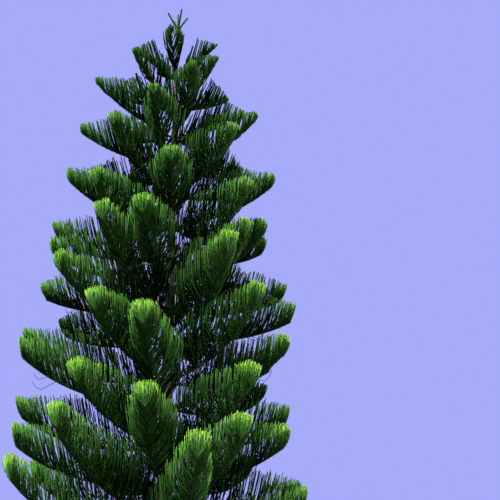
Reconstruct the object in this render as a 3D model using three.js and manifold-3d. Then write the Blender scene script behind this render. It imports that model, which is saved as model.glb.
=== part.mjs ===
// A Norfolk Island pine: one straight trunk that carries whorls of plume-like boughs.
// Millimetres, +Z up, with the origin at the middle of the flat cut at ground level.
// Azimuths are degrees from +X towards +Y, depths are measured down from the leader's tip.
import * as THREE from 'three';
import Module from 'manifold-3d';

// Trunk
const TREE_HEIGHT = 12500;
const TRUNK_RADIUS = 139;
const LEADER_RADIUS = 8;
const TRUNK_TAPER_POWER = 0.8;
const TRUNK_SIDES = 12;
const TRUNK_RING_HEIGHTS = [0, 60, 150, 300, 600, 1200, 2400, 4000, 5600, 7200, 8800, 10200, 11400, 12100];
const FLARE_SWELL = 0.55;
const FLARE_HEIGHT = 180;
const ROOT_LOBES = 4;
const ROOT_LOBE_SWELL = 0.08;

// Whorls, counted from the top: heights, and the azimuth of each one's first bough
const WHORL_HEIGHTS = [
  12200, 11300, 10730, 10260, 9740, 9270, 8800, 8280, 7870, 7500, 7040, 6460,
  6100, 5530, 5010, 4640, 4070, 3550,
];
const WHORL_TURNS = [
  200, 261, 234, 282, 258, 234, 270, 237, 258, 237, 219, 240, 258, 234, 261, 228, 282, 259,
];
const TOP_WHORL_BOUGHS = 4;
const WHORL_BOUGHS = 5;
const BARE_LIMB_WHORLS = 2;

// Boughs
const CROWN_REACH = 1950;
const REACH_GROWTH_DEPTH = 2500;
const TOP_PINCH_DEPTH = 570;
const LEFT_BIAS = 0.07;
const TOP_SLOPE = 2.3;
const SLOPE_FADE_DEPTH = 900;
const LOW_SLOPE = 0.02;
const UPTURN = 0.26;
const FRONT_LIFT = 0.25;
const UPTURN_GROWTH_DEPTH = 2500;
const UPTURN_POWER = 3;
const LIMB_RADIUS = 5;
const LIMB_RADIUS_PER_REACH = 0.008;
const LIMB_TIP_SHARE = 0.3;
const BARE_SHARE = 0.07;
const LOW_BARE_SHARE = 0.34;
const LIMB_STEPS = 3;
const SOCKET_SHARE = 0.5;

// Whips: the upright branchlets that stand in two ranks along a bough
const WHIP_LENGTH = 800;
const WHIP_GROWTH_DEPTH = 1400;
const WHIP_SIDE = 0.45;
const WHIP_UP = 0.74;
const WHIP_FORWARD = 0.2;
const WHIP_BASE_SHARE = 0.5;
const WHIP_FULL_AT = 0.3;
const WHIP_ROUNDS_FROM = 0.3;
const WHIP_TIP_SHARE = 0.42;
const POINT_DEPTH = 1000;
const FILLING_DEPTH = 2500;
const WEB_SHARE = 0.62;
const WEB_THICKNESS = 26;
const WEB_THICKNESS_LIMIT = 0.85;
const WEB_ENDS_AT = 0.97;
const PLUME_OPENING = 0.05;
const TEETH_PITCH = 230;
const FEWEST_TEETH = 2;
const MOST_TEETH = 9;

// Natural variation
const SEED = 31;
const TURN_SPREAD = 3;
const REACH_SPREAD = 0.08;
const SLOPE_SPREAD = 0.04;
const UPTURN_SPREAD = 0.3;

// Clearances and collars
const SEAT_GAP = 0.3;
const LEAF_CLEARANCE = 2.5;
const SECTOR_SHARE = 0.6;
const SECTOR_MARGIN = 1.5;
const COLLAR_DEPTH_SHARE = 0.9;
const COLLAR_HEIGHT_SHARE = 1.9;
const COLLAR_EDGE_SHARE = 0.85;
const COLLAR_OVERRUN = 16;
const COLLAR_STEPS = 4;

const BARK = new THREE.MeshStandardMaterial({ color: 0x75604a, roughness: 0.9, metalness: 0 });
const LIMB_BARK = new THREE.MeshStandardMaterial({ color: 0x5b4a33, roughness: 0.9, metalness: 0 });
const NEEDLES = new THREE.MeshStandardMaterial({ color: 0x2f5a1c, roughness: 0.7, metalness: 0 });

const wasm = await Module();
wasm.setup();

const UP = new THREE.Vector3(0, 0, 1);

// A bough's section has six corners; the web edges that carry whips follow corners 1 and 4.
const SECTION_ANGLES = [-90, -30, 30, 90, 150, 210];
const SECTION_CORNERS = SECTION_ANGLES.length;
const LEFT_WEB = 1;
const RIGHT_WEB = 4;

// Constants of the repeatable stream of numbers
const STREAM_FACTOR = 1664525;
const STREAM_STEP = 1013904223;
const STREAM_SPAN = 2 ** 32;

// A repeatable stream of numbers: next() lies in 0..1, spread(a) in -a..a.
class SeededStream {
  constructor(seed) {
    this.state = seed >>> 0;
  }

  next() {
    this.state = (Math.imul(this.state, STREAM_FACTOR) + STREAM_STEP) >>> 0;
    return this.state / STREAM_SPAN;
  }

  spread(amount) {
    return (2 * this.next() - 1) * amount;
  }
}

// A closed skin that is collected point by point and turned into a solid.
class Skin {
  constructor() {
    this.points = [];
    this.corners = [];
  }

  add(point) {
    this.points.push(point.x, point.y, point.z);
    return this.points.length / 3 - 1;
  }

  triangle(a, b, c) {
    this.corners.push(a, b, c);
  }

  quad(a, b, c, d) {
    this.triangle(a, b, c);
    this.triangle(a, c, d);
  }

  fan(ring, point, facesOn) {
    const middle = this.add(point);
    ring.forEach((corner, j) => {
      const next = ring[(j + 1) % ring.length];
      if (facesOn) this.triangle(corner, next, middle);
      else this.triangle(next, corner, middle);
    });
  }

  solid() {
    return new wasm.Manifold(new wasm.Mesh({
      numProp: 3,
      vertProperties: new Float32Array(this.points),
      triVerts: new Uint32Array(this.corners),
    }));
  }
}

function grown(depth, span) {
  return 1 - Math.exp(-depth / span);
}

function trunkRadius(height) {
  const left = Math.max(0, 1 - height / TREE_HEIGHT);
  return LEADER_RADIUS + (TRUNK_RADIUS - LEADER_RADIUS) * left ** TRUNK_TAPER_POWER;
}

function flaredRadius(height, angle) {
  const fade = Math.exp(-height / FLARE_HEIGHT);
  const lobes = 1 + ROOT_LOBE_SWELL * fade * Math.cos(ROOT_LOBES * angle);
  return trunkRadius(height) * (1 + FLARE_SWELL * fade) * lobes;
}

// The trunk as a ringed loft from the flat cut to the leader's tip, let out all round by `extra`.
function trunkSolid(extra) {
  const skin = new Skin();
  const rings = [];
  for (const height of TRUNK_RING_HEIGHTS) {
    const ring = [];
    for (let j = 0; j < TRUNK_SIDES; j += 1) {
      const angle = (j * 2 * Math.PI) / TRUNK_SIDES;
      const radius = flaredRadius(height, angle) + extra;
      ring.push(skin.add(new THREE.Vector3(radius * Math.cos(angle), radius * Math.sin(angle), height)));
    }
    rings.push(ring);
  }
  for (let i = 0; i + 1 < rings.length; i += 1) {
    for (let j = 0; j < TRUNK_SIDES; j += 1) {
      const next = (j + 1) % TRUNK_SIDES;
      skin.quad(rings[i][j], rings[i][next], rings[i + 1][next], rings[i + 1][j]);
    }
  }
  skin.fan(rings[0], new THREE.Vector3(0, 0, 0), false);
  skin.fan(rings[rings.length - 1], new THREE.Vector3(0, 0, TREE_HEIGHT + extra), true);
  return skin.solid();
}

// The boughs of one whorl, with their turn, reach, rise and whip length.
function makeWhorl(whorl, stream) {
  const height = WHORL_HEIGHTS[whorl];
  const depth = TREE_HEIGHT - height;
  const count = whorl === 0 ? TOP_WHORL_BOUGHS : WHORL_BOUGHS;
  const boughs = [];
  for (let i = 0; i < count; i += 1) {
    const turn = WHORL_TURNS[whorl] + (i * 360) / count + stream.spread(TURN_SPREAD);
    const angle = THREE.MathUtils.degToRad(turn);
    const fullReach = CROWN_REACH * grown(depth, REACH_GROWTH_DEPTH) * grown(depth, TOP_PINCH_DEPTH);
    const reach = fullReach * (1 - LEFT_BIAS * Math.cos(angle)) * (1 + stream.spread(REACH_SPREAD));
    const steep = TOP_SLOPE * Math.exp(-depth / SLOPE_FADE_DEPTH);
    const lift = UPTURN * grown(depth, UPTURN_GROWTH_DEPTH) * (1 - FRONT_LIFT * Math.sin(angle));
    boughs.push({
      turn,
      height,
      reach,
      out: new THREE.Vector3(Math.cos(angle), Math.sin(angle), 0),
      side: new THREE.Vector3(-Math.sin(angle), Math.cos(angle), 0),
      slope: LOW_SLOPE + steep + stream.spread(SLOPE_SPREAD),
      upturn: lift * (1 + stream.spread(UPTURN_SPREAD)),
      whip: WHIP_LENGTH * grown(depth, WHIP_GROWTH_DEPTH),
      endShare: WHIP_TIP_SHARE * grown(Math.max(0, depth - POINT_DEPTH), FILLING_DEPTH),
      limbRadius: LIMB_RADIUS + LIMB_RADIUS_PER_REACH * reach,
      teeth: THREE.MathUtils.clamp(Math.round(reach / TEETH_PITCH), FEWEST_TEETH, MOST_TEETH),
    });
  }
  return boughs;
}

function turnGap(a, b) {
  const gap = Math.abs(a.turn - b.turn) % 360;
  return Math.min(gap, 360 - gap);
}

// The room that a bough may fill to each side, for each step outward: a share of the angle to the
// nearest bough in its own whorl and in the whorls next to it. The top whorl stands clear of the rest.
function sectorRoom(bough, whorl, whorls) {
  const near = whorl === 0 ? whorls[0] : whorls.slice(Math.max(1, whorl - 1), whorl + 2).flat();
  const gaps = near.filter((other) => other !== bough).map((other) => turnGap(bough, other));
  const sector = SECTOR_SHARE * Math.min(...gaps) - SECTOR_MARGIN;
  return Math.tan(THREE.MathUtils.degToRad(sector));
}

// All whorls from the top down.
function makeWhorls() {
  const stream = new SeededStream(SEED);
  const whorls = WHORL_TURNS.map((turn, whorl) => makeWhorl(whorl, stream));
  whorls.forEach((boughs, whorl) => {
    boughs.forEach((bough) => {
      bough.room = sectorRoom(bough, whorl, whorls);
    });
  });
  return whorls;
}

// The limb's middle line, its direction and its upward normal at a share t of the reach.
function limbAt(bough, t) {
  const rise = bough.reach * (bough.slope * t + bough.upturn * t ** UPTURN_POWER);
  const steepness = bough.slope + UPTURN_POWER * bough.upturn * t ** (UPTURN_POWER - 1);
  const along = bough.out.clone().addScaledVector(UP, steepness).normalize();
  return {
    point: bough.out.clone().multiplyScalar(bough.reach * t).addScaledVector(UP, bough.height + rise),
    along,
    normal: along.clone().cross(bough.side),
    radius: bough.limbRadius * THREE.MathUtils.lerp(1, LIMB_TIP_SHARE, t),
  };
}

// Whips grow to full length over the inner stretch and shorten again towards the bough's end, which is a
// point near the top of the tree and fills out further down.
function whipLength(bough, t) {
  const inner = THREE.MathUtils.lerp(WHIP_BASE_SHARE, 1, Math.min(1, t / WHIP_FULL_AT));
  const outer = Math.max(0, (t - WHIP_ROUNDS_FROM) / (1 - WHIP_ROUNDS_FROM));
  return bough.whip * inner * THREE.MathUtils.lerp(bough.endShare, 1, 1 - outer * outer);
}

// From the limb to a whip's tip: out to one side, within the bough's own sector, up and forward.
function whipSpan(bough, t, hand) {
  const length = whipLength(bough, t);
  const side = Math.min(WHIP_SIDE * length, bough.room * bough.reach * t);
  const { along } = limbAt(bough, t);
  const span = bough.side.clone().multiplyScalar(hand * side);
  span.addScaledVector(UP, WHIP_UP * length);
  return span.addScaledVector(along, WHIP_FORWARD * length);
}

// Six corners round the bare limb.
function limbSection(bough, t) {
  const { point, normal, radius } = limbAt(bough, t);
  return SECTION_ANGLES.map((degrees) => {
    const angle = THREE.MathUtils.degToRad(degrees);
    const corner = point.clone().addScaledVector(bough.side, radius * Math.cos(angle));
    return corner.addScaledVector(normal, radius * Math.sin(angle));
  });
}

// Six corners of the V that the whips' feet make: keel, outer and inner web edge, valley, and back.
function plumeSection(bough, t) {
  const { point, normal, radius } = limbAt(bough, t);
  const corners = [];
  for (const hand of [1, -1]) {
    const foot = whipSpan(bough, t, hand).multiplyScalar(WEB_SHARE);
    const sideways = Math.abs(foot.dot(bough.side));
    const upward = foot.dot(normal);
    const thickness = Math.min(WEB_THICKNESS, WEB_THICKNESS_LIMIT * sideways);
    const outward = bough.side.clone().multiplyScalar(hand * upward).addScaledVector(normal, -sideways);
    outward.setLength(thickness / 2);
    const edge = point.clone().add(foot);
    corners.push([edge.clone().add(outward), edge.clone().sub(outward)]);
  }
  const keel = point.clone().addScaledVector(normal, -radius);
  const valley = point.clone().addScaledVector(normal, radius);
  return [keel, corners[0][0], corners[0][1], valley, corners[1][1], corners[1][0]];
}

// A whip stands on the web between two sections as a four-sided point.
function addTooth(skin, here, next, edge, tip) {
  const base = [here[edge], here[edge + 1], next[edge + 1], next[edge]];
  skin.fan(base, tip, true);
}

// One bough to its tip: a bare limb through the given shares of its reach, then a toothed plume.
// Both layers of a web are folded along the same diagonal, so that they stay apart.
function plumeSolid(bough, bareShares) {
  const skin = new Skin();
  const rings = bareShares.map((share) => limbSection(bough, share));
  const shares = [...bareShares];
  const leafFrom = shares[shares.length - 1] + PLUME_OPENING;
  for (let i = 0; i <= bough.teeth; i += 1) {
    const share = THREE.MathUtils.lerp(leafFrom, WEB_ENDS_AT, i / bough.teeth);
    shares.push(share);
    rings.push(plumeSection(bough, share));
  }
  const ids = rings.map((ring) => ring.map((point) => skin.add(point)));
  for (let i = 0; i + 1 < ids.length; i += 1) {
    const leafy = i >= bareShares.length;
    for (let j = 0; j < SECTION_CORNERS; j += 1) {
      const toothed = leafy && (j === LEFT_WEB || j === RIGHT_WEB);
      if (!toothed) {
        const next = (j + 1) % SECTION_CORNERS;
        const loop = [ids[i][j], ids[i][next], ids[i + 1][next], ids[i + 1][j]];
        const fallsBack = j === LEFT_WEB + 1 || j === RIGHT_WEB + 1;
        if (fallsBack) loop.push(loop.shift());
        skin.quad(...loop);
      }
    }
    if (leafy) {
      const middle = (shares[i] + shares[i + 1]) / 2;
      const root = limbAt(bough, middle).point;
      addTooth(skin, ids[i], ids[i + 1], LEFT_WEB, root.clone().add(whipSpan(bough, middle, 1)));
      addTooth(skin, ids[i], ids[i + 1], RIGHT_WEB, root.clone().add(whipSpan(bough, middle, -1)));
    }
  }
  skin.fan(ids[0], limbAt(bough, shares[0]).point, false);
  const end = limbAt(bough, 1);
  const tip = end.point.clone().addScaledVector(end.along, whipLength(bough, 1) * WHIP_FORWARD);
  skin.fan(ids[ids.length - 1], tip, true);
  return skin.solid();
}

// One bare limb from inside the trunk to the share where its foliage starts.
function limbSolid(bough, to) {
  const skin = new Skin();
  const from = socketShare(bough);
  const ids = [];
  for (let i = 0; i <= LIMB_STEPS; i += 1) {
    const share = THREE.MathUtils.lerp(from, to, i / LIMB_STEPS);
    ids.push(limbSection(bough, share).map((point) => skin.add(point)));
  }
  for (let i = 0; i < LIMB_STEPS; i += 1) {
    for (let j = 0; j < SECTION_CORNERS; j += 1) {
      const next = (j + 1) % SECTION_CORNERS;
      skin.quad(ids[i][j], ids[i][next], ids[i + 1][next], ids[i + 1][j]);
    }
  }
  skin.fan(ids[0], limbAt(bough, from).point, false);
  skin.fan(ids[LIMB_STEPS], limbAt(bough, to).point, true);
  return skin.solid();
}

// Where a limb starts, inside the trunk, as a share of its reach.
function socketShare(bough) {
  return (SOCKET_SHARE * trunkRadius(bough.height)) / bough.reach;
}

// The swollen collar that joins neighbouring boughs round their part of the trunk.
function collarSolid(boughs) {
  const skin = new Skin();
  const seat = trunkRadius(boughs[0].height);
  const steepest = Math.max(...boughs.map((bough) => bough.slope));
  const height = boughs[0].height + steepest * seat;
  const thick = Math.max(...boughs.map((bough) => bough.limbRadius));
  const inner = SOCKET_SHARE * seat;
  const outer = seat + COLLAR_DEPTH_SHARE * thick;
  const half = COLLAR_HEIGHT_SHARE * thick * (1 + steepest);
  const edge = COLLAR_EDGE_SHARE * half;
  const start = boughs[0].turn - COLLAR_OVERRUN;
  const end = boughs[boughs.length - 1].turn + COLLAR_OVERRUN;
  const corners = [[inner, -half], [outer, -edge], [outer, edge], [inner, half]];
  const ids = [];
  for (let i = 0; i <= COLLAR_STEPS; i += 1) {
    const angle = THREE.MathUtils.degToRad(THREE.MathUtils.lerp(start, end, i / COLLAR_STEPS));
    ids.push(corners.map(([radius, rise]) => {
      const point = new THREE.Vector3(radius * Math.cos(angle), radius * Math.sin(angle), height + rise);
      return skin.add(point);
    }));
  }
  for (let i = 0; i < COLLAR_STEPS; i += 1) {
    for (let j = 0; j < corners.length; j += 1) {
      const next = (j + 1) % corners.length;
      skin.quad(ids[i][next], ids[i][j], ids[i + 1][j], ids[i + 1][next]);
    }
  }
  skin.quad(ids[0][0], ids[0][1], ids[0][2], ids[0][3]);
  const last = ids[COLLAR_STEPS];
  skin.quad(last[3], last[2], last[1], last[0]);
  return skin.solid();
}

// Where a limb stops being bare, clear of the trunk and the collar, as a share of its reach.
function bareShare(bough) {
  const clear = trunkRadius(bough.height) + LEAF_CLEARANCE * bough.limbRadius;
  return Math.max(BARE_SHARE, clear / bough.reach);
}

// Keep the largest body of a cut solid.
function largestBody(solid) {
  const bodies = solid.decompose();
  return bodies.reduce((best, body) => (body.volume() > best.volume() ? body : best));
}

function namedMesh(name, solid, material) {
  const { vertProperties, triVerts } = solid.getMesh();
  const geometry = new THREE.BufferGeometry();
  geometry.setAttribute('position', new THREE.BufferAttribute(vertProperties, 3));
  geometry.setIndex(new THREE.BufferAttribute(triVerts, 1));
  geometry.computeVertexNormals();
  const mesh = new THREE.Mesh(geometry, material);
  mesh.name = name;
  return mesh;
}

// Half a whorl: neighbouring plumes on one collar, cut clear of the trunk.
function halfWhorl(boughs, clearTrunk) {
  let solid = collarSolid(boughs);
  for (const bough of boughs) {
    solid = solid.add(plumeSolid(bough, [socketShare(bough), bareShare(bough)]));
  }
  return largestBody(solid.subtract(clearTrunk));
}

const tree = new THREE.Group();
tree.name = 'norfolk_island_pine';
tree.add(namedMesh('trunk', trunkSolid(0), BARK));

const clearTrunk = trunkSolid(SEAT_GAP / Math.cos(Math.PI / TRUNK_SIDES));
const whorls = makeWhorls();
whorls.forEach((boughs, whorl) => {
  const label = String(whorl + 1).padStart(2, '0');
  if (whorl < whorls.length - BARE_LIMB_WHORLS) {
    const middle = Math.ceil(boughs.length / 2);
    tree.add(namedMesh(`whorl_${label}_right`, halfWhorl(boughs.slice(0, middle), clearTrunk), NEEDLES));
    tree.add(namedMesh(`whorl_${label}_left`, halfWhorl(boughs.slice(middle), clearTrunk), NEEDLES));
    return;
  }
  boughs.forEach((bough, i) => {
    const limb = largestBody(limbSolid(bough, LOW_BARE_SHARE).subtract(clearTrunk));
    tree.add(namedMesh(`limb_${label}_${i + 1}`, limb, LIMB_BARK));
    const start = LOW_BARE_SHARE + SEAT_GAP / bough.reach;
    const plume = plumeSolid(bough, [start]);
    tree.add(namedMesh(`spray_${label}_${i + 1}`, plume, NEEDLES));
  });
});

export default tree;
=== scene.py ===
"""A Norfolk Island pine with barked trunk and limbs, and whips of needles grown by the solids' own rule."""
import math

import bmesh
import bpy
import numpy as np
from bpy.props import FloatProperty, FloatVectorProperty, IntProperty, IntVectorProperty, PointerProperty
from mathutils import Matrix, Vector, noise


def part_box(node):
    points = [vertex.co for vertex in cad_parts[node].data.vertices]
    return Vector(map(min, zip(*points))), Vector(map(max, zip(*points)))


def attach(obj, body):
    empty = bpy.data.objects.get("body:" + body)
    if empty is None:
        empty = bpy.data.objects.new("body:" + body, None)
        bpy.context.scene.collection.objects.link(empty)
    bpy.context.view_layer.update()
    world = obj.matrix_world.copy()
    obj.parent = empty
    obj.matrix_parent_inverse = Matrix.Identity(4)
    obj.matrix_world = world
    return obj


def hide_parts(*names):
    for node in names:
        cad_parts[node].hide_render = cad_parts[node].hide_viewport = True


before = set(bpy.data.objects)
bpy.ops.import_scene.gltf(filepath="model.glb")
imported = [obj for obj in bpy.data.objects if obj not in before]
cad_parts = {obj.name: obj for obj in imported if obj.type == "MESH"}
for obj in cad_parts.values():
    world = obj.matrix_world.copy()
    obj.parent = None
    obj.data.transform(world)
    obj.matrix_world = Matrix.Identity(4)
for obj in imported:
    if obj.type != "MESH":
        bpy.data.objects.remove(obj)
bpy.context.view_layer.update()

bl_info = {
    "name": "Norfolk Island Pine",
    "version": (1, 0, 0),
    "blender": (4, 5, 0),
    "location": "View3D > Sidebar > Pine",
    "description": "Grows the bark, limbs and needles of a Norfolk Island pine on its solids",
    "category": "Object",
}

BODY = "root"
TRUNK_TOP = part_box("trunk")[1].z
UP = np.array([0.0, 0.0, 1.0])


# Settings that a user would change


class PineTrunkSettings(bpy.types.PropertyGroup):
    """Sizes and colours of the trunk."""

    height: FloatProperty(
        name="Height", description="From the ground to the leader's tip", default=TRUNK_TOP, unit="LENGTH")
    radius: FloatProperty(
        name="Radius", description="Radius at the ground, without the root flare",
        default=0.139, unit="LENGTH")
    leader_radius: FloatProperty(
        name="Leader radius", description="Radius at the tip", default=0.008, unit="LENGTH")
    taper_power: FloatProperty(
        name="Taper", description="Power of the height that is left, which shapes the taper", default=0.8)
    flare_swell: FloatProperty(
        name="Root flare", description="Share that the foot is wider than the stem", default=0.55)
    flare_height: FloatProperty(
        name="Flare height", description="Height over which the flare fades", default=0.18, unit="LENGTH")
    root_lobes: IntProperty(name="Root lobes", description="Buttresses round the foot", default=4)
    lobe_swell: FloatProperty(
        name="Lobe swell", description="Share that a buttress stands out", default=0.08)
    relief: FloatProperty(
        name="Bark relief", description="Depth of the bark's rings and flakes",
        default=0.006, unit="LENGTH")
    grey: FloatVectorProperty(
        name="Old bark", description="Weathered bark low on the stem", subtype="COLOR",
        default=(0.034, 0.029, 0.022))
    pale: FloatVectorProperty(
        name="Pale patches", description="Patches where the old bark has bleached", subtype="COLOR",
        default=(0.085, 0.076, 0.062))
    tan: FloatVectorProperty(
        name="Young bark", description="Peeling bark high on the stem", subtype="COLOR",
        default=(0.10, 0.052, 0.014))
    crevice: FloatVectorProperty(
        name="Crevices", description="Colour between the flakes", subtype="COLOR",
        default=(0.009, 0.006, 0.004))
    green: FloatVectorProperty(
        name="Green leader", description="Skin of the youngest stem", subtype="COLOR",
        default=(0.022, 0.032, 0.006))


class PineBoughSettings(bpy.types.PropertyGroup):
    """The rule of the whorls and their boughs."""

    seed: IntProperty(name="Seed", description="Start of the stream of natural variation", default=31)
    heights: FloatVectorProperty(
        name="Heights", description="Height of each whorl, from the top down", size=18, unit="LENGTH",
        default=(12.2, 11.3, 10.73, 10.26, 9.74, 9.27, 8.8, 8.28, 7.87, 7.5, 7.04, 6.46,
                 6.1, 5.53, 5.01, 4.64, 4.07, 3.55))
    turns: IntVectorProperty(
        name="Turns", description="Azimuth of each whorl's first bough, in degrees, from the top down",
        size=18,
        default=(200, 261, 234, 282, 258, 234, 270, 237, 258, 237, 219, 240, 258, 234, 261, 228, 282, 259))
    reach: FloatProperty(
        name="Reach", description="Length that the lowest boughs come near to", default=1.95, unit="LENGTH")
    reach_growth: FloatProperty(
        name="Reach growth", description="Depth over which boughs grow longer", default=2.5, unit="LENGTH")
    top_pinch: FloatProperty(
        name="Top pinch", description="Depth over which the pointed top opens", default=0.57, unit="LENGTH")
    left_bias: FloatProperty(
        name="Left bias", description="Share that the crown is wider on its left", default=0.07)
    top_slope: FloatProperty(name="Top slope", description="Slope of a bough at the very tip", default=2.3)
    slope_fade: FloatProperty(
        name="Slope fade", description="Depth over which boughs level out", default=0.9, unit="LENGTH")
    low_slope: FloatProperty(name="Low slope", description="Slope of the lowest boughs", default=0.02)
    upturn: FloatProperty(
        name="Upturn", description="Rise of a bough's end, as a share of reach", default=0.26)
    upturn_growth: FloatProperty(
        name="Upturn growth", description="Depth over which the upturn grows", default=2.5, unit="LENGTH")
    upturn_power: FloatProperty(name="Upturn power", description="How late a bough turns up", default=3.0)
    front_lift: FloatProperty(
        name="Front lift", description="Share that boughs on the lit front turn up more", default=0.25)
    limb_radius: FloatProperty(
        name="Limb radius", description="Radius of the shortest limb", default=0.005, unit="LENGTH")
    limb_gain: FloatProperty(
        name="Limb gain", description="Further radius for each metre of reach",
        default=0.008, unit="LENGTH")
    limb_tip: FloatProperty(name="Limb tip", description="Share of its radius at a limb's tip", default=0.3)
    bare: FloatProperty(name="Bare share", description="Leafless inner share of a bough", default=0.1)
    low_bare: FloatProperty(
        name="Low bare share", description="Leafless inner share on the lowest whorls", default=0.34)
    low_whorls: IntProperty(name="Low whorls", description="Whorls with long bare limbs", default=2)
    bark: FloatVectorProperty(
        name="Limb bark", description="Bark of the limbs", subtype="COLOR", default=(0.014, 0.011, 0.008))
    twig: FloatVectorProperty(
        name="Green twig", description="Skin of the limbs' young ends", subtype="COLOR",
        default=(0.004, 0.008, 0.003))


class PineWhipSettings(bpy.types.PropertyGroup):
    """The upright branchlets and their needles."""

    seed: IntProperty(name="Seed", description="Start of the whips' own variation", default=41)
    length: FloatProperty(name="Length", description="Longest whips", default=0.8, unit="LENGTH")
    growth: FloatProperty(
        name="Growth", description="Depth over which whips grow longer", default=1.4, unit="LENGTH")
    side: FloatProperty(
        name="Sideways", description="Share of its length that a whip stands out", default=0.45)
    rise: FloatProperty(name="Upwards", description="Share of its length that a whip rises", default=0.74)
    forward: FloatProperty(
        name="Forward", description="Share of its length that a whip leans out", default=0.2)
    base_share: FloatProperty(
        name="Inner share", description="Share of length at the bough's foot", default=0.5)
    full_at: FloatProperty(
        name="Full at", description="Share of reach where whips are longest", default=0.3)
    rounds_from: FloatProperty(
        name="Rounds from", description="Share of reach from which the bough's end is rounded off",
        default=0.3)
    tip_share: FloatProperty(
        name="Tip share", description="Share of length at the bough's tip", default=0.42)
    point_depth: FloatProperty(
        name="Point depth", description="Depth down to which boughs end in a point",
        default=1.0, unit="LENGTH")
    filling: FloatProperty(
        name="Filling", description="Further depth over which boughs' ends fill out",
        default=2.5, unit="LENGTH")
    spacing: FloatProperty(
        name="Spacing", description="Mean distance between whips along a bough",
        default=0.0045, unit="LENGTH")
    crowding: FloatProperty(
        name="Crowding", description="How much the whips crowd towards the bough's end", default=3.0)
    core_radius: FloatProperty(
        name="Core radius", description="Rope of needle feet round the twig", default=0.008, unit="LENGTH")
    needles: FloatProperty(
        name="Needles", description="Needles that stand out of each metre of whip", default=16.0)
    needle_length: FloatProperty(
        name="Needle length", description="Longest needles", default=0.036, unit="LENGTH")
    needle_width: FloatProperty(
        name="Needle width", description="Share of a needle's length", default=0.22)
    # From inner to tip green: the oldest to the youngest needles, and also painted shade deep in the crown
    # to a painted highlight on the lit crests
    shadow: FloatVectorProperty(
        name="Inner green", description="Oldest needles", subtype="COLOR", default=(0.0012, 0.006, 0.0012))
    leaf: FloatVectorProperty(
        name="Leaf green", description="Grown needles", subtype="COLOR", default=(0.021, 0.066, 0.012))
    fresh_and_lit: FloatVectorProperty(
        name="Fresh green", description="This year's needles", subtype="COLOR",
        default=(0.058, 0.168, 0.023))
    tip: FloatVectorProperty(
        name="Tip green", description="Soft ends of the whips", subtype="COLOR", default=(0.27, 0.47, 0.04))


class PineStageSettings(bpy.types.PropertyGroup):
    """Camera, light and floor."""

    distance: FloatProperty(
        name="Distance", description="From the trunk to the camera", default=16.0, unit="LENGTH")
    eye_height: FloatProperty(
        name="Eye height", description="Camera above the ground", default=1.0, unit="LENGTH")
    pitch: FloatProperty(
        name="Pitch", description="Upward angle of sight", default=math.radians(25.0), subtype="ANGLE")
    yaw: FloatProperty(
        name="Yaw", description="Angle of sight to the right of the trunk", default=math.radians(4.02),
        subtype="ANGLE")
    focal_pixels: FloatProperty(
        name="Focal length", description="Focal length in pixels of the frame", default=1238.0)
    sky: FloatVectorProperty(
        name="Backdrop", description="Pale even backdrop", subtype="COLOR", default=(0.38, 0.41, 0.95))
    floor: FloatVectorProperty(
        name="Floor", description="Pale even floor", subtype="COLOR", default=(0.092, 0.092, 0.089))
    glow: FloatProperty(name="Glow", description="Strength of the even light from all sides", default=0.015)
    key: FloatProperty(
        name="Key light", description="Strength of the soft key light, in watts a square metre",
        default=22.0)
    fill: FloatProperty(
        name="Fill light", description="Strength of the light from the right, in watts a square metre",
        default=1.0)
    back: FloatProperty(
        name="Back light", description="Strength of the light from behind, in watts a square metre",
        default=10.0)


# The rule of growth, shared by limbs and whips


class SeededStream:
    """The solids' repeatable stream of numbers."""

    FACTOR = 1664525
    STEP = 1013904223
    SPAN = 2 ** 32

    def __init__(self, seed):
        self.state = seed % self.SPAN

    def spread(self, amount):
        """A number in -amount..amount."""
        self.state = (self.state * self.FACTOR + self.STEP) % self.SPAN
        return (2 * self.state / self.SPAN - 1) * amount


# How far boughs vary: turn in degrees, reach and upturn as shares, slope as rise over run
TURN_SPREAD = 3.0
REACH_SPREAD = 0.08
SLOPE_SPREAD = 0.04
UPTURN_SPREAD = 0.3
# Share of the trunk's radius at which limbs start
SOCKET_SHARE = 0.5
TOP_WHORL_BOUGHS = 4
WHORL_BOUGHS = 5


def grown(depth, span):
    """Share of full growth at a depth below the tip, which nears 1 over the span."""
    return 1 - math.exp(-depth / span)


def trunk_radius(trunk, height):
    """The stem's radius at a height, without flare and bark."""
    left = max(0.0, 1 - height / trunk.height)
    return trunk.leader_radius + (trunk.radius - trunk.leader_radius) * left ** trunk.taper_power


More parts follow.
